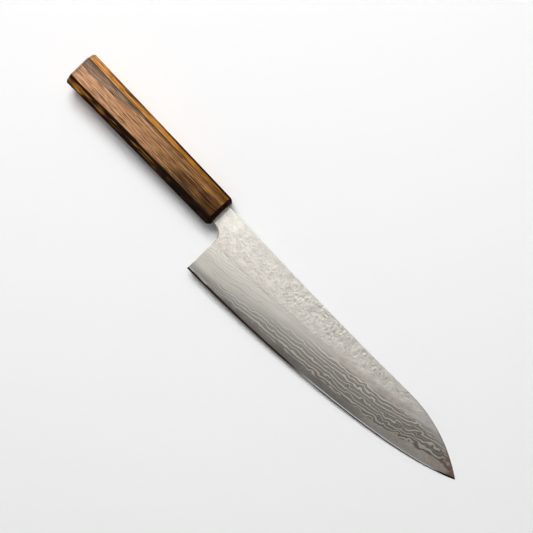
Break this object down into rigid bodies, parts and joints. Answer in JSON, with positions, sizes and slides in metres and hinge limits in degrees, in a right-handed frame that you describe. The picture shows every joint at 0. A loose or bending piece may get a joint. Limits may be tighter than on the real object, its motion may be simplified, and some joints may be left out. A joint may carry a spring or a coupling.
{
  "type": "gyuto knife",
  "caption": "Japanese chef's knife lying on its side: layered steel blade with a rounded choil and an octagonal burnt-oak handle.",
  "frame": {"origin": "middle of the handle's lower flat, the face that the knife lies on", "axes": "+X along the handle's axis towards the blade's tip, +Y towards the spine, +Z square to the blade's middle plane, away from the face that the knife lies on"},
  "size_m": [0.3424, 0.0505, 0.0204],
  "materials": {
    "core_steel": "fine satin ground band along the edge",
    "layered_steel": "wavy layered pattern on the ground bevel, pitted forge finish above it",
    "burnt_oak": "scorched and oiled, satin, open grain lengthwise",
    "pale_magnolia": "bare, turned",
    "hard_wax": "dark, satin"
  },
  "bodies": {
    "root": {"blade_core": "core_steel", "cladding_right": "layered_steel", "cladding_left": "layered_steel", "handle_body": "burnt_oak", "tang_dowel": "pale_magnolia", "bore_collar": "hard_wax"}
  },
  "joints": []
}
